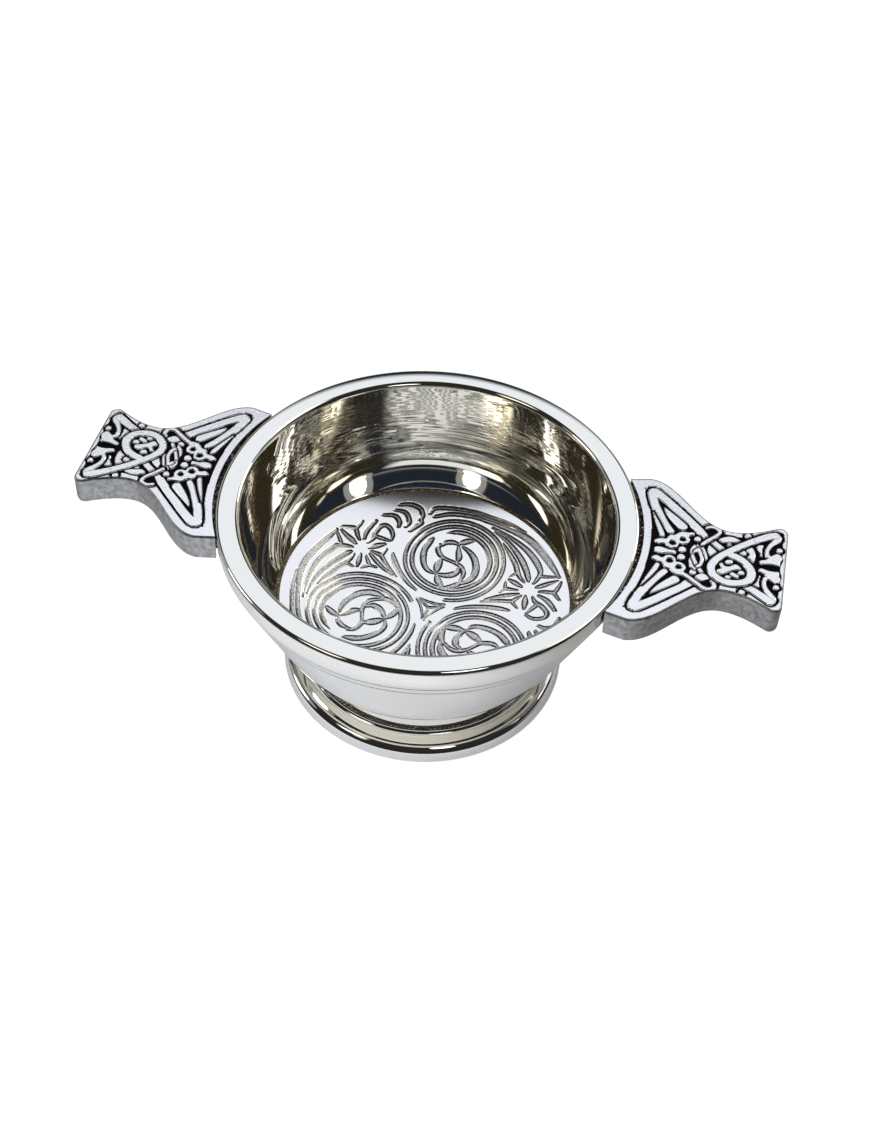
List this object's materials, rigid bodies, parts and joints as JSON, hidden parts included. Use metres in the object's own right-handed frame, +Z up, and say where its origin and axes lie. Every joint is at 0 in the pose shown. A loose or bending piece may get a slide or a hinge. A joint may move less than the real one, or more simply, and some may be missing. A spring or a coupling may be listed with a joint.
{
  "type": "quaich",
  "caption": "Shallow footed pewter drinking bowl with flat cast lugs on opposite sides, raised interlace on the lugs and a spiral medallion in the floor.",
  "frame": {"origin": "centre of the foot's resting face", "axes": "+X along the line of the two lugs, +Z up through the bowl's mouth"},
  "size_m": [0.1512, 0.0904, 0.0488],
  "materials": {
    "polished_pewter": "mirror polished pewter with fine wiping marks",
    "medallion_pewter": "stamped pewter, polished on the high parts and grey in the lines",
    "cast_pewter": "cast pewter, polished on the raised ornament, black in the ground, satin on the sides",
    "solder": "dull pitted solder with dark polishing residue"
  },
  "bodies": {
    "root": {"bowl": "polished_pewter", "medallion": "medallion_pewter", "medallion_solder": "solder", "neck": "polished_pewter", "neck_solder": "solder", "foot": "polished_pewter", "foot_solder": "solder", "lug_right": "cast_pewter", "lug_left": "cast_pewter", "lug_right_solder": "solder", "lug_left_solder": "solder"}
  },
  "joints": []
}
